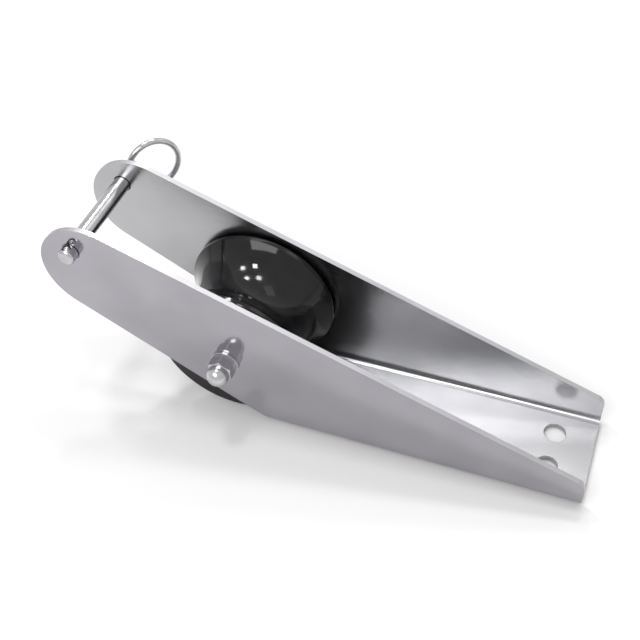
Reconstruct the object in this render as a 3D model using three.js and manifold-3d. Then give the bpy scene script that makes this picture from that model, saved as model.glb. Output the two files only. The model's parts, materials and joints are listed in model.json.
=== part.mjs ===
// A stainless bow anchor roller: a folded channel, a grooved roller on a bolt, and a ring pin
// across the nose. Millimetres. +X runs aft to the bolt-down end, +Y to port, +Z up.
// The origin is on the underside, midway between the two deck holes.
import * as THREE from "three";
import { mergeVertices, toCreasedNormals } from "three/addons/utils/BufferGeometryUtils.js";
import Module from "manifold-3d";

const wasm = await Module();
wasm.setup();

// Channel
const channelWidth = 61;
const plate = 3;
const innerBend = 3.5;
const tailX = 22.2;
const noseX = -251.3;
const noseZ = 91.6;
const noseRadius = 29.3;
const topSlope = THREE.MathUtils.degToRad(20.7);
const lowerSlope = THREE.MathUtils.degToRad(29.6);
const kneeRadius = 12;
const tailCorner = 6;
const deckHoleRadius = 6.25;
const deckHoleSpacing = 23;

// Roller and its axle, an M8 bolt
const axleX = -177.5;
const axleZ = 46;
const rimRadius = 43.3;
const waistRadius = 34.5;
const rollerHalf = 26.2;
const grooveHalf = 22;
const rimCorner = 2.2;
const rollerBore = 9.3;
const bushRadius = 9;
const bushBore = 6.15;
const bushSeatRadius = 14.5;
const bushSeatDepth = 1.7;
const bushFlangeRadius = 14;
const bushFlange = 2.1;
const bushLength = 15;
const sleeveRadius = 6;
const sleeveBore = 4.4;
const boltRadius = 4;
const boltHole = 4.5;
const hexFlats = 13;
const boltHead = 5.3;
const threadChamfer = 0.8;
const washerRadius = 8;
const washerBore = 4.3;
const washerThickness = 1.6;
const nutHex = 7;
const nutHeight = 15;
const nutBore = 4.3;
const nutDepth = 10.5;
const domeStep = 0.3;
const threadIn = 9.8;

// Retaining pin with its detent ball and pull ring
const pinX = -259.6;
const pinZ = 105.3;
const pinRadius = 4.75;
const pinHole = 5.25;
const pinTip = 6.4;
const pinTipRound = 1.8;
const collarRadius = 8.5;
const collar = 2.5;
const collarInnerEdge = 0.4;
const collarOuterEdge = 0.6;
const headRadius = 6;
const headLength = 11.7;
const headRound = 1.5;
const ringWire = 1.75;
const ringRadius = 15.2;
const ringHole = 2.65;
const ringOut = 6.5;
const ringSwing = THREE.MathUtils.degToRad(40);
const ballRadius = 2;
const ballProud = 0.4;
const ballPocket = 2.3;
const pocketFloor = -1.7;
const ballOut = 2.6;
const springRadius = 1.45;
const springWire = 0.22;
const springTurns = 3;
const springLength = 2.4;

// Clearance between pieces that don't share metal, and how far a cutter or a join reaches past a face
const gap = 0.3;
const overlap = 1;

// Steps round a curve
const roundSegments = 48;
const rollerSegments = 72;
const noseSegments = 28;
const bendSegments = 8;
const grooveSegments = 16;
const cornerSegments = 5;
const wireSegments = 14;
const ringSegments = 64;
const ballSegments = 20;
const ballRows = 12;
const springTurnSegments = 16;
const springWireSegments = 4;
const creaseAngle = THREE.MathUtils.degToRad(25.7);

const halfWidth = channelWidth / 2;
const innerHalf = halfWidth - plate;
const bushSeat = rollerHalf - bushSeatDepth;
const washerFace = halfWidth + gap;
const clampFace = washerFace + washerThickness + gap;
const headFace = halfWidth + gap;
const ringY = halfWidth + ringOut;
const ballY = -halfWidth - ballOut;
const ballZ = pinRadius + ballProud - ballRadius;

const finishes = {
  polishedSteel: { color: 0xb9b8bc, roughness: 0.22, metalness: 1 },
  brightSteel: { color: 0xc8c8cc, roughness: 0.14, metalness: 1 },
  blackRubber: { color: 0x17181a, roughness: 0.3, metalness: 0 },
  whiteAcetal: { color: 0xe6e4dc, roughness: 0.45, metalness: 0 },
  springSteel: { color: 0x9a9a9c, roughness: 0.35, metalness: 1 },
};

// Closed three.js geometry to a manifold-3d solid, and back.
function solidOf(geometry) {
  const bare = geometry.clone();
  bare.deleteAttribute("normal");
  bare.deleteAttribute("uv");
  const merged = mergeVertices(bare, 1e-4);
  const mesh = new wasm.Mesh({
    numProp: 3,
    vertProperties: merged.attributes.position.array,
    triVerts: new Uint32Array(merged.index.array),
  });
  return new wasm.Manifold(mesh);
}

function geometryOf(solid) {
  const mesh = solid.getMesh();
  const geometry = new THREE.BufferGeometry();
  geometry.setAttribute("position", new THREE.BufferAttribute(mesh.vertProperties, 3));
  geometry.setIndex(new THREE.BufferAttribute(mesh.triVerts, 1));
  return toCreasedNormals(geometry, creaseAngle);
}

// A solid of revolution about Y. The outline is a list of [radius, y], counted upwards on the outside.
function turned(outline, segments = roundSegments) {
  const points = outline.map(([r, y]) => new THREE.Vector2(r, y));
  return solidOf(new THREE.LatheGeometry(points, segments));
}

function ringOutline(inner, outer, low, high) {
  return [
    [inner, low],
    [outer, low],
    [outer, high],
    [inner, high],
    [inner, low],
  ];
}

// Points on an arc of a turned outline, from one angle to another in degrees.
function arcPoints(centreR, centreY, radius, from, to, steps) {
  return Array.from({ length: steps + 1 }, (_, i) => {
    const angle = THREE.MathUtils.degToRad(from + ((to - from) * i) / steps);
    return [centreR + radius * Math.cos(angle), centreY + radius * Math.sin(angle)];
  });
}

// A cylinder for a hole, along Y or Z.
function rod(axis, radius, length, centre) {
  const geometry = new THREE.CylinderGeometry(radius, radius, length, roundSegments);
  if (axis === "z") geometry.rotateX(Math.PI / 2);
  return solidOf(geometry.translate(...centre));
}

// A hexagonal block along Y with its corners turned off at the end that faces outwards.
function hexBlock(flats, length, outerY, inwards) {
  const cornerRadius = flats / Math.sqrt(3);
  const block = new THREE.CylinderGeometry(cornerRadius, cornerRadius, length, 6);
  block.translate(0, outerY + (inwards * length) / 2, 0);
  const turnedOff = cornerRadius - flats / 2;
  const clearRadius = cornerRadius + overlap;
  const cone = [
    [flats / 2, 0],
    [clearRadius, turnedOff + overlap],
    [clearRadius, length + overlap],
  ].map(([r, y]) => [r, outerY + inwards * y]);
  const outline = [[0, cone[0][1]], ...cone, [0, cone[2][1]]];
  return solidOf(block).intersect(turned(inwards > 0 ? outline : outline.reverse()));
}

// Side outline of the channel: level underside, sloping lower edge, round nose, straight top edge.
function sideOutline() {
  const topNormal = new THREE.Vector2(Math.sin(topSlope), Math.cos(topSlope));
  const lowerNormal = new THREE.Vector2(-Math.sin(lowerSlope), -Math.cos(lowerSlope));
  const topAngle = Math.atan2(topNormal.y, topNormal.x);
  const lowerAngle = Math.atan2(lowerNormal.y, lowerNormal.x);
  const nose = new THREE.Vector2(noseX, noseZ);
  const lowerTouch = nose.clone().addScaledVector(lowerNormal, noseRadius);
  const topTouch = nose.clone().addScaledVector(topNormal, noseRadius);
  const kneeX = lowerTouch.x + lowerTouch.y / Math.tan(lowerSlope);
  const kneeCut = kneeRadius * Math.tan(lowerSlope / 2);
  const tailTop = topTouch.y - (tailX - topTouch.x) * Math.tan(topSlope);
  const cornerTurn = Math.PI / 2 - topSlope;
  const cornerCut = tailCorner * Math.tan(cornerTurn / 2);

  const outline = new THREE.Shape();
  outline.moveTo(kneeX + kneeCut, 0);
  outline.lineTo(tailX, 0);
  outline.lineTo(tailX, tailTop - cornerCut);
  outline.absarc(tailX - tailCorner, tailTop - cornerCut, tailCorner, 0, topAngle, false);
  outline.lineTo(topTouch.x, topTouch.y);
  outline.absarc(noseX, noseZ, noseRadius, topAngle, lowerAngle + 2 * Math.PI, false);
  outline.absarc(kneeX + kneeCut, kneeRadius, kneeRadius, lowerAngle, -Math.PI / 2, false);
  outline.closePath();
  return outline;
}

// U section of the folded plate, tall enough to be cut to the side outline.
function foldedSection() {
  const tall = noseZ + noseRadius + overlap;
  const outerBend = innerBend + plate;
  const section = new THREE.Shape();
  section.moveTo(-halfWidth, tall);
  section.lineTo(-halfWidth, outerBend);
  section.absarc(-halfWidth + outerBend, outerBend, outerBend, Math.PI, 1.5 * Math.PI, false);
  section.absarc(halfWidth - outerBend, outerBend, outerBend, 1.5 * Math.PI, 2 * Math.PI, false);
  section.lineTo(halfWidth, tall);
  section.lineTo(innerHalf, tall);
  section.absarc(innerHalf - innerBend, plate + innerBend, innerBend, 0, -Math.PI / 2, true);
  section.absarc(-innerHalf + innerBend, plate + innerBend, innerBend, -Math.PI / 2, -Math.PI, true);
  section.lineTo(-innerHalf, tall);
  section.closePath();
  return section;
}

function channelSolid() {
  const side = new THREE.ExtrudeGeometry(sideOutline(), {
    depth: channelWidth + 2 * overlap,
    bevelEnabled: false,
    curveSegments: noseSegments,
  });
  side.rotateX(Math.PI / 2).translate(0, halfWidth + overlap, 0);

  const length = tailX - noseX + noseRadius + 2 * overlap;
  const fold = new THREE.ExtrudeGeometry(foldedSection(), {
    depth: length,
    bevelEnabled: false,
    curveSegments: bendSegments,
  });
  const alongX = new THREE.Matrix4().makeBasis(
    new THREE.Vector3(0, 1, 0),
    new THREE.Vector3(0, 0, 1),
    new THREE.Vector3(1, 0, 0),
  );
  fold.applyMatrix4(alongX).translate(tailX + overlap - length, 0, 0);

  const through = channelWidth + 2 * overlap;
  let channel = solidOf(side).intersect(solidOf(fold));
  channel = channel.subtract(rod("y", boltHole, through, [axleX, 0, axleZ]));
  channel = channel.subtract(rod("y", pinHole, through, [pinX, 0, pinZ]));
  for (const hand of [-1, 1]) {
    const centre = [0, (hand * deckHoleSpacing) / 2, plate / 2];
    channel = channel.subtract(rod("z", deckHoleRadius, plate * 3, centre));
  }
  return channel;
}

// Roller with a hollow groove between two rims, and a shallow seat for a bush flange in each end.
function rollerSolid() {
  const depth = rimRadius - waistRadius;
  const grooveRadius = (grooveHalf ** 2 + depth ** 2) / (2 * depth);
  const reach = THREE.MathUtils.radToDeg(Math.asin(grooveHalf / grooveRadius));
  const grooveCentre = waistRadius + grooveRadius;
  const groove = arcPoints(grooveCentre, 0, grooveRadius, 180 + reach, 180 - reach, grooveSegments);
  const cornerR = rimRadius - rimCorner;
  const cornerY = rollerHalf - rimCorner;
  const lowCorner = arcPoints(cornerR, -cornerY, rimCorner, -90, 0, cornerSegments);
  const highCorner = arcPoints(cornerR, cornerY, rimCorner, 0, 90, cornerSegments);
  return turned(
    [
      [rollerBore, -bushSeat],
      [bushSeatRadius, -bushSeat],
      [bushSeatRadius, -rollerHalf],
      ...lowCorner,
      ...groove,
      ...highCorner,
      [bushSeatRadius, rollerHalf],
      [bushSeatRadius, bushSeat],
      [rollerBore, bushSeat],
      [rollerBore, -bushSeat],
    ],
    rollerSegments,
  );
}

// Flanged bush for the port end of the roller, on the roller's own axis.
function bushSolid() {
  const flangeLow = bushSeat + gap;
  const flangeHigh = flangeLow + bushFlange;
  return turned([
    [bushBore, flangeHigh - bushLength],
    [bushRadius, flangeHigh - bushLength],
    [bushRadius, flangeLow],
    [bushFlangeRadius, flangeLow],
    [bushFlangeRadius, flangeHigh],
    [bushBore, flangeHigh],
    [bushBore, flangeHigh - bushLength],
  ]);
}

function boltSolid() {
  const head = hexBlock(hexFlats, boltHead, clampFace + boltHead, -1);
  const end = -clampFace - threadIn;
  const shank = turned([
    [0, end],
    [boltRadius - threadChamfer, end],
    [boltRadius, end + threadChamfer],
    [boltRadius, clampFace + overlap],
    [0, clampFace + overlap],
  ]);
  return head.add(shank);
}

function capNutSolid() {
  const domeRadius = hexFlats / 2 - domeStep;
  const domeY = -clampFace - nutHeight + domeRadius;
  const hex = hexBlock(hexFlats, nutHex, -clampFace - nutHex, 1);
  const dome = turned([
    ...arcPoints(0, domeY, domeRadius, -90, 0, 2 * cornerSegments),
    [domeRadius, -clampFace - overlap],
    [0, -clampFace - overlap],
  ]);
  return hex.add(dome).subtract(rod("y", nutBore, 2 * nutDepth, [0, -clampFace, 0]));
}

function pinSolid() {
  const tipY = -halfWidth - pinTip;
  const headEnd = headFace + headLength;
  const tipCorner = [pinRadius - pinTipRound, tipY + pinTipRound];
  const tip = arcPoints(...tipCorner, pinTipRound, -90, 0, cornerSegments);
  const crownCorner = [headRadius - headRound, headEnd - headRound];
  const crown = arcPoints(...crownCorner, headRound, 0, 90, cornerSegments);
  const pin = turned([
    [0, tipY],
    ...tip,
    [pinRadius, headFace],
    [collarRadius - collarInnerEdge, headFace],
    [collarRadius, headFace + collarInnerEdge],
    [collarRadius, headFace + collar - collarOuterEdge],
    [collarRadius - collarOuterEdge, headFace + collar],
    [headRadius, headFace + collar],
    ...crown,
    [0, headEnd],
  ]);
  const pocketHeight = 2 * pinRadius;
  const pocket = rod("z", ballPocket, pocketHeight, [0, ballY, pocketFloor + pocketHeight / 2]);
  const eye = rod("z", ringHole, 2 * (headRadius + overlap), [0, ringY, 0]);
  return pin.subtract(pocket).subtract(eye);
}

// The wire ring passes the eye along Z, so its centre is set back by half the bow of wire inside the eye.
function ringGeometry() {
  const bow = ringRadius - Math.sqrt(ringRadius ** 2 - headRadius ** 2);
  const ring = new THREE.TorusGeometry(ringRadius, ringWire, wireSegments, ringSegments);
  ring.rotateY(Math.PI / 2).translate(0, ringRadius - bow / 2, 0);
  return ring;
}

class SpringCurve extends THREE.Curve {
  getPoint(t, target = new THREE.Vector3()) {
    const angle = t * springTurns * 2 * Math.PI;
    const rise = t * (springLength - 2 * springWire);
    return target.set(springRadius * Math.cos(angle), springRadius * Math.sin(angle), springWire + rise);
  }
}

function springGeometry() {
  const wire = new THREE.Shape().absarc(0, 0, springWire, 0, 2 * Math.PI, false);
  return new THREE.ExtrudeGeometry(wire, {
    extrudePath: new SpringCurve(),
    steps: springTurns * springTurnSegments,
    curveSegments: springWireSegments,
    bevelEnabled: false,
  });
}

function part(name, finish, shape) {
  const geometry = shape.isBufferGeometry ? shape : geometryOf(shape);
  const mesh = new THREE.Mesh(geometry, new THREE.MeshStandardMaterial(finishes[finish]));
  mesh.name = name;
  return mesh;
}

const anchorRoller = new THREE.Group();
anchorRoller.add(part("channel", "polishedSteel", channelSolid()));

const axle = new THREE.Group();
axle.position.set(axleX, 0, axleZ);
anchorRoller.add(axle);
axle.add(part("roller", "blackRubber", rollerSolid()));
const portBush = part("roller_bush_port", "whiteAcetal", bushSolid());
const starboardBush = part("roller_bush_starboard", "whiteAcetal", bushSolid());
starboardBush.rotation.x = Math.PI;
axle.add(portBush, starboardBush);
const sleeveHalf = innerHalf - gap;
const sleeveOutline = ringOutline(sleeveBore, sleeveRadius, -sleeveHalf, sleeveHalf);
axle.add(part("axle_sleeve", "brightSteel", turned(sleeveOutline)));
axle.add(part("axle_bolt", "brightSteel", boltSolid()));
for (const [name, low] of [
  ["bolt_head_washer", washerFace],
  ["cap_nut_washer", -washerFace - washerThickness],
]) {
  const outline = ringOutline(washerBore, washerRadius, low, low + washerThickness);
  axle.add(part(name, "brightSteel", turned(outline)));
}
axle.add(part("cap_nut", "brightSteel", capNutSolid()));

const pin = new THREE.Group();
pin.position.set(pinX, 0, pinZ);
anchorRoller.add(pin);
pin.add(part("retaining_pin", "brightSteel", pinSolid()));
const ballShape = new THREE.SphereGeometry(ballRadius, ballSegments, ballRows);
const ball = part("detent_ball", "brightSteel", ballShape);
ball.position.set(0, ballY, ballZ);
const spring = part("detent_spring", "springSteel", springGeometry());
spring.position.set(0, ballY, pocketFloor + gap);
const ring = part("pull_ring", "brightSteel", ringGeometry());
ring.position.set(0, ringY, 0);
ring.rotation.z = -ringSwing;
pin.add(ball, spring, ring);

export default anchorRoller;
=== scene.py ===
import json
import math
import bpy
from mathutils import Matrix, Vector

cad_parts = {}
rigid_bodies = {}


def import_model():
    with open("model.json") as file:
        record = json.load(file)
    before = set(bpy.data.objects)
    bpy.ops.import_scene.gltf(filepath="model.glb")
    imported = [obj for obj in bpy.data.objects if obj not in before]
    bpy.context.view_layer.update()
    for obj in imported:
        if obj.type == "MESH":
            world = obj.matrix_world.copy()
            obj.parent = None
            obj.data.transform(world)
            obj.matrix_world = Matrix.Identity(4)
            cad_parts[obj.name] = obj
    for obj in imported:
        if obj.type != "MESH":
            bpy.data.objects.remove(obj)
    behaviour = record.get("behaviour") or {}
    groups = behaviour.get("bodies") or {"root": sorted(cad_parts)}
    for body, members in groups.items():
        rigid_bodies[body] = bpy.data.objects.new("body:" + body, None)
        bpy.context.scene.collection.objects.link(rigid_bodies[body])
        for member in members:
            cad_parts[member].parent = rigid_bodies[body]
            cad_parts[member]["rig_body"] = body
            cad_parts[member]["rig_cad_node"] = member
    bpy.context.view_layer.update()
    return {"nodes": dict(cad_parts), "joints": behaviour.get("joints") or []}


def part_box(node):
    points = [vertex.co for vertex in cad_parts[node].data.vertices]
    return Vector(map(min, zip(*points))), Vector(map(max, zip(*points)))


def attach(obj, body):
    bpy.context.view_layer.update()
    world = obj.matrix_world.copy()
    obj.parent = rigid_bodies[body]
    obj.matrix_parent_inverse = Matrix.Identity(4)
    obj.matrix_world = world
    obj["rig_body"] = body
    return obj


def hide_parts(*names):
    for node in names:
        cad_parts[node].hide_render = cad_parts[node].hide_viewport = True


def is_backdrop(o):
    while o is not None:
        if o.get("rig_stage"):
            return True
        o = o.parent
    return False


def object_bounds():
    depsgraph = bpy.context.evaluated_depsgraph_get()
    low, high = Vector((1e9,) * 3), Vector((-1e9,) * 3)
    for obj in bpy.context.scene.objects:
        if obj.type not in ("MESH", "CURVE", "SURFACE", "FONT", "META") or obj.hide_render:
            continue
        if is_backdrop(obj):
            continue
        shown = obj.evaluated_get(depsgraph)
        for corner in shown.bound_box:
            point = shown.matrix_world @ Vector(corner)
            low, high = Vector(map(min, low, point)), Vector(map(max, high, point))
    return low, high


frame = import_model()
nodes = frame["nodes"]
joints = {joint["name"]: joint for joint in frame["joints"]}
mm = 0.001
fullTurn = 2 * math.pi
axlePlace = Vector(joints["roller_spin"]["pos_m"])
pinPlace = Vector(joints["ring_swing"]["pos_m"])

camera = {
    "place": (0.0142, -0.3451, 0.4692),
    "azimuth": 23.08,  # degrees round to the aft side of the near cheek
    "elevation": 47.28,
    "roll": 3.7,
    "lens": 57.34,
    "sensor": 36,
}

bpy.ops.object.camera_add(location=camera["place"])
cameraObject = bpy.context.object
aim = Matrix.Rotation(math.radians(camera["azimuth"]), 3, "Z")
aim = aim @ Matrix.Rotation(math.radians(90 - camera["elevation"]), 3, "X")
aim = aim @ Matrix.Rotation(-math.radians(camera["roll"]), 3, "Z")
cameraObject.rotation_euler = aim.to_euler()
cameraObject.data.lens = camera["lens"]
cameraObject.data.sensor_width = camera["sensor"]
cameraObject.data.clip_start = 0.01
bpy.context.scene.camera = cameraObject
bpy.context.scene.view_settings.view_transform = "Standard"
print("camera set")


def linearColour(hexCode):
    parts = [int(hexCode[i:i + 2], 16) / 255 for i in (1, 3, 5)]
    return [c / 12.92 if c <= 0.04045 else ((c + 0.055) / 1.055) ** 2.4 for c in parts] + [1]


def addNode(tree, kind, settings=None, links=None):
    node = tree.nodes.new(kind)
    for key, value in (settings or {}).items():
        if isinstance(key, int) or key in node.inputs:
            node.inputs[key].default_value = value
        else:
            setattr(node, key, value)
    for socket, source in (links or {}).items():
        tree.links.new(source, node.inputs[socket])
    return node


def newMaterial(name, shaderSettings):
    material = bpy.data.materials.new(name)
    material.use_nodes = True
    tree = material.node_tree
    tree.nodes.clear()
    shader = addNode(tree, "ShaderNodeBsdfPrincipled", shaderSettings)
    addNode(tree, "ShaderNodeOutputMaterial", links={"Surface": shader.outputs[0]})
    return material, tree, shader


def spreadTones(ramp, places, tones):
    for element, place, tone in zip(ramp.color_ramp.elements, places, tones):
        element.position = place
        element.color = linearColour(tone)


def steelMaterial(name, finish):
    material, tree, shader = newMaterial(name, {"Metallic": 1.0})
    where = addNode(tree, "ShaderNodeTexCoord").outputs["Object"]
    grainScale = [1 / (size * mm) for size in finish["grainSize"]]
    grainPlace = addNode(tree, "ShaderNodeMapping", {"Scale": grainScale}, {"Vector": where})
    grain = addNode(
        tree, "ShaderNodeTexNoise", {"Scale": 1.0, "Detail": 3.0, "Roughness": 0.6},
        {"Vector": grainPlace.outputs[0]},
    )
    blotchScale = 1 / (finish["blotchSize"] * mm)
    blotch = addNode(tree, "ShaderNodeTexNoise", {"Scale": blotchScale, "Detail": 2.0}, {"Vector": where})
    tone = addNode(tree, "ShaderNodeValToRGB", links={"Fac": blotch.outputs["Fac"]})
    spreadTones(tone, finish["toneSpread"], (finish["darkTone"], finish["lightTone"]))
    haze = addNode(
        tree, "ShaderNodeMapRange",
        {"To Min": finish["roughness"][0], "To Max": finish["roughness"][1]},
        {"Value": grain.outputs["Fac"]},
    )
    bump = addNode(
        tree, "ShaderNodeBump", {"Strength": finish["bump"], "Distance": finish["bumpHeight"] * mm},
        {"Height": grain.outputs["Fac"]},
    )
    tree.links.new(tone.outputs["Color"], shader.inputs["Base Color"])
    tree.links.new(haze.outputs["Result"], shader.inputs["Roughness"])
    tree.links.new(bump.outputs["Normal"], shader.inputs["Normal"])
    return material


# 316 sheet, ground lengthwise and then buffed outside: a soft mirror with faint lines fore and aft
buffedFinish = {
    "darkTone": "#A4A1A7",
    "lightTone": "#ADAAB0",
    "toneSpread": (0.3, 0.7),
    "roughness": (0.08, 0.16),
    "grainSize": (14, 0.7, 0.7),  # real lines are 0.05 mm wide, drawn wider so that they show
    "blotchSize": 35,
    "bump": 0.1,
    "bumpHeight": 0.04,
}
# the same sheet inside the channel, where the mop doesn't reach: satin, and deeper lines; its tone is
# painted lighter than outside, painted light that brightens the reflections inside the channel
satinFinishWithPaintedLight = dict(
    buffedFinish, darkTone="#ADADAF", lightTone="#B6B6B8",
    roughness=(0.18, 0.3), bump=0.15, bumpHeight=0.06,
)
# its laser-cut edges, taken off with a belt: dull, and painted paler than the faces, a painted highlight
# along the edges
beltedFinishWithPaintedHighlight = dict(
    buffedFinish, darkTone="#AEADB0", lightTone="#BBBABD",
    roughness=(0.35, 0.5), grainSize=(0.6, 3, 0.6), bump=0.3,
)
# A4 bar, turned and tumbled bright
brightFinish = {
    "darkTone": "#B4B3B6",
    "lightTone": "#C6C5C8",
    "toneSpread": (0.3, 0.7),
    "roughness": (0.12, 0.24),
    "grainSize": (1.2, 0.5, 1.2),
    "blotchSize": 6,
    "bump": 0.1,
    "bumpHeight": 0.03,
}
# 302 spring wire as drawn: darker and duller than the bar
drawnFinish = dict(
    brightFinish, darkTone="#8E8E90", lightTone="#A2A2A4", roughness=(0.25, 0.4), blotchSize=2
)
buffedSheet = steelMaterial("buffed_316_sheet", buffedFinish)
satinSheetWithPaintedLight = steelMaterial("satin_316_sheet_painted_light", satinFinishWithPaintedLight)
beltedEdgeWithPaintedHighlight = steelMaterial("belted_316_edge_painted_highlight", beltedFinishWithPaintedHighlight)
brightBar = steelMaterial("tumbled_A4_bar", brightFinish)
springWire = steelMaterial("drawn_302_spring_wire", drawnFinish)


def moulded(name, plastic):
    material, tree, shader = newMaterial(name, {"IOR": plastic["ior"]})
    where = addNode(tree, "ShaderNodeTexCoord").outputs["Object"]
    skinScale = 1 / (plastic["skinSize"] * mm)
    skin = addNode(tree, "ShaderNodeTexNoise", {"Scale": skinScale, "Detail": 4.0}, {"Vector": where})
    scuffScale = 1 / (plastic["scuffSize"] * mm)
    scuff = addNode(
        tree, "ShaderNodeTexNoise", {"Scale": scuffScale, "Detail": 6.0, "Roughness": 0.7},
        {"Vector": where},
    )
    tone = addNode(tree, "ShaderNodeValToRGB", links={"Fac": scuff.outputs["Fac"]})
    spreadTones(tone, plastic["toneSpread"], (plastic["tone"], plastic["scuffTone"]))
    glossFrom, glossTo = plastic["glossSpread"]
    smooth, dull = plastic["roughness"]
    gloss = addNode(
        tree, "ShaderNodeMapRange",
        {"From Min": glossFrom, "From Max": glossTo, "To Min": smooth, "To Max": dull},
        {"Value": scuff.outputs["Fac"]},
    )
    bump = addNode(
        tree, "ShaderNodeBump", {"Strength": plastic["bump"], "Distance": plastic["bumpHeight"] * mm},
        {"Height": skin.outputs["Fac"]},
    )
    tree.links.new(tone.outputs["Color"], shader.inputs["Base Color"])
    tree.links.new(gloss.outputs["Result"], shader.inputs["Roughness"])
    tree.links.new(bump.outputs["Normal"], shader.inputs["Normal"])
    return material


# hard rubber moulded in a polished tool: black, wet-looking, with a faint ripple and a few dull scuffs
mouldedRubber = moulded("moulded_black_rubber", {
    "tone": "#0A0A0B",
    "scuffTone": "#161618",
    "toneSpread": (0.35, 0.75),
    "glossSpread": (0.4, 0.8),
    "roughness": (0.05, 0.22),
    "ior": 1.38,
    "skinSize": 6,
    "scuffSize": 9,
    "bump": 0.1,
    "bumpHeight": 0.15,
})
# acetal rod, turned: waxy white with a dull sheen
turnedAcetal = moulded("turned_white_acetal", {
    "tone": "#E6E3DA",
    "scuffTone": "#D8D4C8",
    "toneSpread": (0.35, 0.75),
    "glossSpread": (0.4, 0.8),
    "roughness": (0.35, 0.5),
    "ior": 1.48,
    "skinSize": 0.8,
    "scuffSize": 5,
    "bump": 0.15,
    "bumpHeight": 0.05,
})
print("materials made")

# points closer than this are one point, in mm: in a lathed outline, in a copied part, along a cut
weld = {"lathe": 0.005, "copy": 0.002, "cut": 0.01}
# no bend of the plate turns as little as this from one facet to the next
flatAngle = math.radians(0.3)


def only(thing):
    bpy.ops.object.select_all(action="DESELECT")
    thing.select_set(True)
    bpy.context.view_layer.objects.active = thing


def latheAlongY(name, outline, steps=96):
    # outline is [distance from the axis, place along the axis] in mm, and the axis is Y through the origin
    points = [Vector((away, along, 0)) * mm for away, along in outline]
    bpy.ops.object.select_all(action="DESELECT")
    bpy.ops.mesh.primitive_plane_add(size=mm, location=points[0])
    piece = bpy.context.object
    piece.name = name
    bpy.ops.object.transform_apply(location=True)
    bpy.ops.object.mode_set(mode="EDIT")
    bpy.ops.mesh.select_all(action="SELECT")
    bpy.ops.mesh.merge(type="CENTER")
    for before, after in zip(points, points[1:]):
        bpy.ops.mesh.extrude_region_move(TRANSFORM_OT_translate={"value": after - before})
    bpy.ops.mesh.select_all(action="SELECT")
    bpy.ops.mesh.spin(steps=steps, angle=fullTurn, center=(0, 0, 0), axis=(0, 1, 0))
    bpy.ops.mesh.select_all(action="SELECT")
    bpy.ops.mesh.remove_doubles(threshold=weld["lathe"] * mm)
    bpy.ops.mesh.normals_make_consistent(inside=False)
    bpy.ops.object.mode_set(mode="OBJECT")
    return piece


def arcOf(centreAway, centreAlong, radius, fromAngle, toAngle, steps):
    # outline points on an arc, angles in degrees
    angles = [math.radians(fromAngle + (toAngle - fromAngle) * i / steps) for i in range(steps + 1)]
    return [(centreAway + radius * math.cos(a), centreAlong + radius * math.sin(a)) for a in angles]


def hexAlongY(name, flats, low, high):
    bpy.ops.object.select_all(action="DESELECT")
    bpy.ops.mesh.primitive_cylinder_add(
        vertices=6, radius=flats / math.sqrt(3) * mm, depth=(high - low) * mm,
        location=(0, (low + high) / 2 * mm, 0), rotation=(math.radians(90), 0, 0),
    )
    piece = bpy.context.object
    piece.name = name
    bpy.ops.object.transform_apply(location=True, rotation=True)
    return piece


def combine(piece, other, operation):
    only(piece)
    cut = piece.modifiers.new("combine", "BOOLEAN")
    cut.operation = operation
    cut.solver = "EXACT"
    cut.object = other
    bpy.ops.object.modifier_apply(modifier="combine")
    bpy.data.objects.remove(other, do_unlink=True)
    bpy.ops.object.mode_set(mode="EDIT")
    bpy.ops.mesh.select_all(action="SELECT")
    bpy.ops.mesh.remove_doubles(threshold=weld["cut"] * mm)
    bpy.ops.mesh.dissolve_degenerate(threshold=weld["cut"] * mm)
    bpy.ops.object.mode_set(mode="OBJECT")


def softenEdges(piece, width, segments=3, angle=30):
    only(piece)
    if width:
        bevel = piece.modifiers.new("edge", "BEVEL")
        bevel.width = width * mm
        bevel.segments = segments
        bevel.angle_limit = math.radians(angle)
        bpy.ops.object.modifier_apply(modifier="edge")
    bpy.ops.object.shade_smooth_by_angle(angle=math.radians(angle + 5))
    weigh = piece.modifiers.new("weigh", "WEIGHTED_NORMAL")
    weigh.keep_sharp = True
    bpy.ops.object.modifier_apply(modifier="weigh")


def putAt(piece, place):
    only(piece)
    piece.location = place
    bpy.ops.object.transform_apply(location=True)


def mergedCopy(node, name):
    only(nodes[node])
    bpy.ops.object.duplicate()
    piece = bpy.context.object
    piece.name = name
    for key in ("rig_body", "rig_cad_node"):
        del piece[key]
    piece.parent = None
    bpy.ops.object.mode_set(mode="EDIT")
    bpy.ops.mesh.select_all(action="SELECT")
    bpy.ops.mesh.remove_doubles(threshold=weld["copy"] * mm)
    bpy.ops.mesh.dissolve_limited(angle_limit=flatAngle)
    bpy.ops.object.mode_set(mode="OBJECT")
    return piece


def settle(piece, node, body, material):
    piece.data.materials.clear()
    piece.data.materials.append(material)
    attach(piece, body)
    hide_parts(node)


# the folded plate itself, with its cut edges broken by hand
channel = {
    "edge": 0.35,
    "plate": 3,
    "bendTop": 7,  # the cheeks are straight above this
    "slack": 0.02,
}

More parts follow.
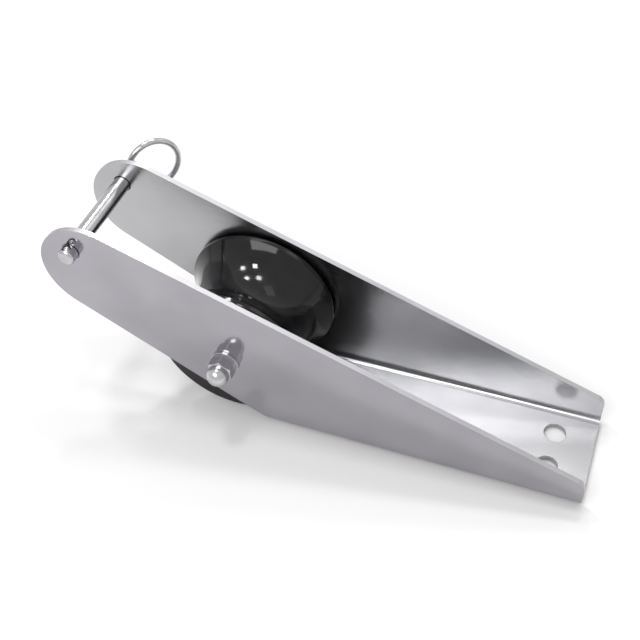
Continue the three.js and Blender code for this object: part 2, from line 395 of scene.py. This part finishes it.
channelSheet = mergedCopy("channel", "channel_sheet")
softenEdges(channelSheet, channel["edge"])
settle(channelSheet, "channel", "frame", buffedSheet)
channelSheet.data.materials.append(satinSheetWithPaintedLight)
channelSheet.data.materials.append(beltedEdgeWithPaintedHighlight)
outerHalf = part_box("channel")[1].y / mm
innerHalf = outerHalf - channel["plate"]
for face in channelSheet.data.polygons:
    across = abs(face.center.y) / mm
    up = face.center.z / mm
    inPlate = innerHalf + channel["slack"] < across < outerHalf - channel["slack"]
    cheekEdge = inPlate and abs(face.normal.y) < 0.9 and up > channel["bendTop"]
    floorEdge = abs(face.normal.x) > 0.3 and up < channel["plate"] - channel["slack"]
    inside = across < innerHalf + channel["slack"] / 2 and up > channel["plate"] - channel["slack"] / 2
    # cut edges take the belted steel, whose paler tone is a painted highlight
    if cheekEdge or floorEdge:
        face.material_index = 2
    # inside faces take the satin sheet, whose lighter tone is painted light
    elif inside:
        face.material_index = 1
print("channel made")

# the roller is one moulding, hollow between its rims, with a seat for a bush flange in each end
tyre = {
    "rim": 43.3,
    "waist": 34.5,
    "half": 26.2,
    "grooveHalf": 22,
    "rimCorner": 2.2,
    "bore": 9.3,
    "seat": 14.5,
    "seatDepth": 1.7,
    "seatCorner": 0.5,
}

grooveDepth = tyre["rim"] - tyre["waist"]
grooveRadius = (tyre["grooveHalf"] ** 2 + grooveDepth ** 2) / (2 * grooveDepth)
grooveReach = math.degrees(math.asin(tyre["grooveHalf"] / grooveRadius))
seatFloor = tyre["half"] - tyre["seatDepth"]
cornerAway = tyre["rim"] - tyre["rimCorner"]
cornerAlong = tyre["half"] - tyre["rimCorner"]
rollerTyre = latheAlongY(
    "roller_tyre",
    [
        (tyre["bore"], -seatFloor),
        (tyre["seat"], -seatFloor),
        (tyre["seat"], -tyre["half"] + tyre["seatCorner"]),
        (tyre["seat"] + tyre["seatCorner"], -tyre["half"]),
        *arcOf(cornerAway, -cornerAlong, tyre["rimCorner"], -90, 0, 8),
        *arcOf(tyre["waist"] + grooveRadius, 0, grooveRadius, 180 + grooveReach, 180 - grooveReach, 40),
        *arcOf(cornerAway, cornerAlong, tyre["rimCorner"], 0, 90, 8),
        (tyre["seat"] + tyre["seatCorner"], tyre["half"]),
        (tyre["seat"], tyre["half"] - tyre["seatCorner"]),
        (tyre["seat"], seatFloor),
        (tyre["bore"], seatFloor),
        (tyre["bore"], -seatFloor),
    ],
    steps=144,
)
softenEdges(rollerTyre, 0)
putAt(rollerTyre, axlePlace)
settle(rollerTyre, "roller", "roller_body", mouldedRubber)
print("roller made")

# the bushes are turned acetal, a flange and a sleeve each
bush = {
    "bore": 6.15,
    "sleeve": 9,
    "flange": 14,
    "flangeThick": 2.1,
    "length": 15,
    "clearance": 0.3,
    "edge": 0.3,
}

for side, name in ((1, "roller_bush_port"), (-1, "roller_bush_starboard")):
    face = seatFloor + bush["clearance"]
    outer = face + bush["flangeThick"]
    inner = outer - bush["length"]
    piece = latheAlongY(
        name + "_turned",
        [(away, side * along) for away, along in (
            (bush["bore"], inner), (bush["sleeve"], inner), (bush["sleeve"], face),
            (bush["flange"], face), (bush["flange"], outer), (bush["bore"], outer), (bush["bore"], inner),
        )],
        steps=72,
    )
    softenEdges(piece, bush["edge"], segments=2)
    putAt(piece, axlePlace)
    settle(piece, name, "roller_body", turnedAcetal)
print("bushes made")

# the axle: a sleeve, a hex bolt, two washers and a domed cap nut
axle = {
    "sleeve": 6,
    "sleeveBore": 4.4,
    "shank": 4,
    "pitch": 1.25,
    "threadDepth": 0.35,
    "crest": (0.4, 0.6),  # where the flat of a crest runs, in pitches
    "runOut": 1,
    "pointStep": 0.9,
    "flats": 13,
    "cornerAngle": 30,
    "cornerStep": 0.3,
    "head": 5.3,
    "hexEdge": 0.12,
    "washerBore": 4.3,
    "washer": 8,
    "washerThick": 1.6,
    "nutHex": 7,
    "nutHeight": 15,
    "nutBore": 4.3,
    "nutDepth": 10.5,
    "nutMouth": 0.8,
    "drillPoint": 1,
    "domeStep": 0.3,
    "neckDepth": 0.35,
    "neckLength": 0.5,
    "neckRoot": 0.2,
    "domeRoot": 3,
    "nutEdge": 0.15,
    "threadIn": 9.8,
    "gap": 0.3,
    "overlap": 1,  # how far a join or a cut reaches past a face
    "edge": 0.2,
}

sleeveHalf = innerHalf - axle["gap"]
sleeve = latheAlongY(
    "axle_sleeve_tube",
    [
        (axle["sleeveBore"], -sleeveHalf), (axle["sleeve"], -sleeveHalf), (axle["sleeve"], sleeveHalf),
        (axle["sleeveBore"], sleeveHalf), (axle["sleeveBore"], -sleeveHalf),
    ],
    steps=64,
)
softenEdges(sleeve, axle["edge"])
putAt(sleeve, axlePlace)
settle(sleeve, "axle_sleeve", "frame", brightBar)

washerLow = outerHalf  # clamped stack: cheek, washer and nut sit face to face
washerHigh = washerLow + axle["washerThick"]
clampFace = washerHigh
for side, name in ((1, "bolt_head_washer"), (-1, "cap_nut_washer")):
    washer = latheAlongY(
        name + "_punched",
        [(away, side * along) for away, along in (
            (axle["washerBore"], washerLow), (axle["washer"], washerLow), (axle["washer"], washerHigh),
            (axle["washerBore"], washerHigh), (axle["washerBore"], washerLow),
        )],
        steps=64,
    )
    softenEdges(washer, axle["edge"])
    putAt(washer, axlePlace)
    settle(washer, name, "frame", brightBar)


def turnedOffHex(name, flats, clampSide, endSide):
    # a hexagon whose outer corners are turned off, as on a bought nut
    outward = 1 if endSide > clampSide else -1
    block = hexAlongY(name, flats, min(clampSide, endSide), max(clampSide, endSide))
    crown = flats / 2 - axle["cornerStep"]
    corner = flats / math.sqrt(3) + axle["cornerStep"]
    drop = (corner - crown) * math.tan(math.radians(axle["cornerAngle"]))
    clearSide = clampSide - outward * axle["overlap"]
    cone = latheAlongY(
        name + "_cone",
        [
            (0, endSide), (crown, endSide), (corner, endSide - outward * drop),
            (corner, clearSide), (0, clearSide),
        ],
        steps=72,
    )
    combine(block, cone, "INTERSECT")
    return block


boltHead = turnedOffHex("axle_bolt_turned", axle["flats"], clampFace, clampFace + axle["head"])
boltEnd = -clampFace - axle["threadIn"]
threadStart = boltEnd + axle["runOut"]
threadRoot = axle["shank"] - axle["threadDepth"]
turns = round((-innerHalf - threadStart) / axle["pitch"])
thread = []
for turn in range(turns):
    root = threadStart + turn * axle["pitch"]
    thread.append((threadRoot, root))
    for part in axle["crest"]:
        thread.append((axle["shank"], root + axle["pitch"] * part))
threadEnd = threadStart + turns * axle["pitch"]
shank = latheAlongY(
    "axle_bolt_shank",
    [
        (0, boltEnd), (axle["shank"] - axle["pointStep"], boltEnd), *thread,
        (threadRoot, threadEnd), (axle["shank"], threadEnd + axle["runOut"]),
        (axle["shank"], clampFace + axle["overlap"]), (0, clampFace + axle["overlap"]),
    ],
    steps=48,
)
combine(boltHead, shank, "UNION")
softenEdges(boltHead, axle["hexEdge"], segments=2, angle=28)
putAt(boltHead, axlePlace)
settle(boltHead, "axle_bolt", "frame", brightBar)

capNut = turnedOffHex("cap_nut_domed", axle["flats"], -clampFace, -clampFace - axle["nutHex"])
domeRadius = axle["flats"] / 2 - axle["domeStep"]
domeAlong = -clampFace - axle["nutHeight"] + domeRadius
hexEnd = -clampFace - axle["nutHex"]
neck = domeRadius - axle["neckDepth"]
domeEnd = -clampFace - axle["domeRoot"]
dome = latheAlongY(
    "cap_nut_dome",
    [
        *arcOf(0, domeAlong, domeRadius, -90, 0, 14),
        (domeRadius, hexEnd - axle["neckLength"]),
        (neck, hexEnd + axle["neckRoot"]),  # neck left by the turning tool
        (neck, domeEnd), (0, domeEnd),
    ],
    steps=72,
)
combine(capNut, dome, "UNION")
boreEnd = -clampFace - axle["nutDepth"]
mouth = axle["nutBore"] + axle["nutMouth"]
bore = latheAlongY(
    "cap_nut_bore",
    [
        (0, boreEnd), (axle["nutBore"], boreEnd + axle["drillPoint"]),
        (axle["nutBore"], -clampFace - axle["nutMouth"]), (mouth, -clampFace),
        (mouth, -clampFace + axle["overlap"]), (0, -clampFace + axle["overlap"]),
    ],
    steps=48,
)
combine(capNut, bore, "DIFFERENCE")
softenEdges(capNut, axle["nutEdge"], segments=2, angle=28)
putAt(capNut, axlePlace)
settle(capNut, "cap_nut", "frame", brightBar)
print("axle made")

# the retaining pin: turned bar with a collar, an eyed head, and a sprung ball near its tip
pin = {
    "bar": 4.75,
    "tip": 6.4,
    "tipRound": 1.8,
    "collar": 8.5,
    "collarThick": 2.5,
    "head": 6,
    "headLength": 11.7,
    "crown": 1.5,
    "eye": 2.65,
    "ballPocket": 2.3,
    "ballOut": 2.6,
    "pocketFloor": -1.7,
    "edge": 0.25,
}

tipAlong = -outerHalf - pin["tip"]
headFace = outerHalf + axle["gap"]
headEnd = headFace + pin["headLength"]
pinBar = latheAlongY(
    "retaining_pin_turned",
    [
        (0, tipAlong),
        *arcOf(pin["bar"] - pin["tipRound"], tipAlong + pin["tipRound"], pin["tipRound"], -90, 0, 8),
        (pin["bar"], headFace), (pin["collar"], headFace), (pin["collar"], headFace + pin["collarThick"]),
        (pin["head"], headFace + pin["collarThick"]),
        *arcOf(pin["head"] - pin["crown"], headEnd - pin["crown"], pin["crown"], 0, 90, 8),
        (0, headEnd),
    ],
    steps=72,
)


def drillAlongZ(radius, along, low, high):
    bpy.ops.object.select_all(action="DESELECT")
    bpy.ops.mesh.primitive_cylinder_add(
        vertices=48, radius=radius * mm, depth=(high - low) * mm,
        location=(0, along * mm, (low + high) / 2 * mm),
    )
    drill = bpy.context.object
    bpy.ops.object.transform_apply(location=True)
    return drill


eye = drillAlongZ(pin["eye"], pinPlace.y / mm, -2 * pin["head"], 2 * pin["head"])
combine(pinBar, eye, "DIFFERENCE")
pocketAlong = -outerHalf - pin["ballOut"]
pocket = drillAlongZ(pin["ballPocket"], pocketAlong, pin["pocketFloor"], 2 * pin["bar"])
combine(pinBar, pocket, "DIFFERENCE")
softenEdges(pinBar, pin["edge"], segments=2)
putAt(pinBar, Vector((pinPlace.x, 0, pinPlace.z)))
settle(pinBar, "retaining_pin", "pin_body", brightBar)

low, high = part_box("detent_ball")
bpy.ops.object.select_all(action="DESELECT")
bpy.ops.mesh.primitive_uv_sphere_add(
    segments=32, ring_count=20, radius=(high.x - low.x) / 2, location=(low + high) / 2
)
ball = bpy.context.object
ball.name = "detent_ball_ground"
bpy.ops.object.transform_apply(location=True)
softenEdges(ball, 0)
settle(ball, "detent_ball", "ball_body", brightBar)

spring = mergedCopy("detent_spring", "detent_spring_coil")
softenEdges(spring, 0, angle=50)
settle(spring, "detent_spring", "pin_body", springWire)
print("pin made")

# the pull ring: one turn of wire, its two ends butted together at the far side from the eye
ring = {
    "radius": 15.2,
    "wire": 1.75,
    "swing": -40,
    "seam": 0.86,  # the wire is this much thinner where its ends meet
    "seamReach": 0.1,
}

bow = ring["radius"] - math.sqrt(ring["radius"] ** 2 - pin["head"] ** 2)
bpy.ops.object.select_all(action="DESELECT")
bpy.ops.mesh.primitive_torus_add(
    major_segments=120, minor_segments=24,
    major_radius=ring["radius"] * mm, minor_radius=ring["wire"] * mm,
    location=(0, (ring["radius"] - bow / 2) * mm, 0), rotation=(0, math.radians(90), 0),
)
pullRing = bpy.context.object
pullRing.name = "pull_ring_wire"
bpy.ops.object.transform_apply(location=True, rotation=True)
seam = Vector((0, (2 * ring["radius"] - bow / 2) * mm, 0))
bpy.ops.object.mode_set(mode="EDIT")
bpy.ops.mesh.select_all(action="DESELECT")
bpy.ops.object.mode_set(mode="OBJECT")
for vertex in pullRing.data.vertices:
    vertex.select = abs(vertex.co.z) < ring["seamReach"] * mm and vertex.co.y > ring["radius"] * mm
bpy.ops.object.mode_set(mode="EDIT")
bpy.ops.transform.resize(value=(ring["seam"],) * 3, center_override=seam)
bpy.ops.object.mode_set(mode="OBJECT")
softenEdges(pullRing, 0, angle=60)
only(pullRing)
pullRing.rotation_euler = (0, 0, math.radians(ring["swing"]))
bpy.ops.object.transform_apply(rotation=True)
putAt(pullRing, pinPlace)
settle(pullRing, "pull_ring", "ring_body", brightBar)
print("ring made")

studio = {"floorSize": 60, "floorDrop": -0.6, "floorTone": "#D4D4D4", "skyTone": "#FFFFFF", "sky": 0.85}

bpy.ops.mesh.primitive_plane_add(size=studio["floorSize"], location=(0, 0, studio["floorDrop"] * mm))
floor = bpy.context.object
floor.name = "floor"
# matt white card, big enough to run out of sight
whiteCard = {"Base Color": linearColour(studio["floorTone"]), "Roughness": 0.9}
floorPaint = newMaterial("white_card", whiteCard)[0]
floor.data.materials.append(floorPaint)
floor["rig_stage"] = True

world = bpy.data.worlds.new("studio")
bpy.context.scene.world = world
world.use_nodes = True
sky = world.node_tree.nodes["Background"]
sky.inputs["Color"].default_value = linearColour(studio["skyTone"])
sky.inputs["Strength"].default_value = studio["sky"]


def softbox(name, place, size, watts, target):
    bpy.ops.object.light_add(type="AREA", location=place)
    lamp = bpy.context.object
    lamp.name = name
    lamp.data.shape = "RECTANGLE"
    lamp.data.size, lamp.data.size_y = size
    lamp.data.energy = watts
    lamp.rotation_euler = (Vector(target) - Vector(place)).to_track_quat("-Z", "Y").to_euler()


# four small lamps in a square, for the hard lights on the roller
lamps = {
    "centre": (-0.418, 0.407, 1.18),
    "spacing": 0.48,
    "turn": -33,
    "size": 0.15,
    "watts": 2.6,
    "target": (-0.15, 0, 0.05),
}
turn = Matrix.Rotation(math.radians(lamps["turn"]), 3, "Z")
for column in (-0.5, 0.5):
    for row in (-0.5, 0.5):
        place = Vector(lamps["centre"]) + turn @ Vector((column, row, 0)) * lamps["spacing"]
        softbox("lamp", place, (lamps["size"], lamps["size"]), lamps["watts"], lamps["target"])
softbox("front_softbox", (-0.38, -0.85, 1.05), (0.8, 0.55), 6.8, (-0.08, 0, 0.03))
softbox("edge_softbox", (0.42, 0.88, 1.03), (0.36, 0.5), 0.5, (-0.1, 0, 0.06))
print("light set")

low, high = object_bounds()
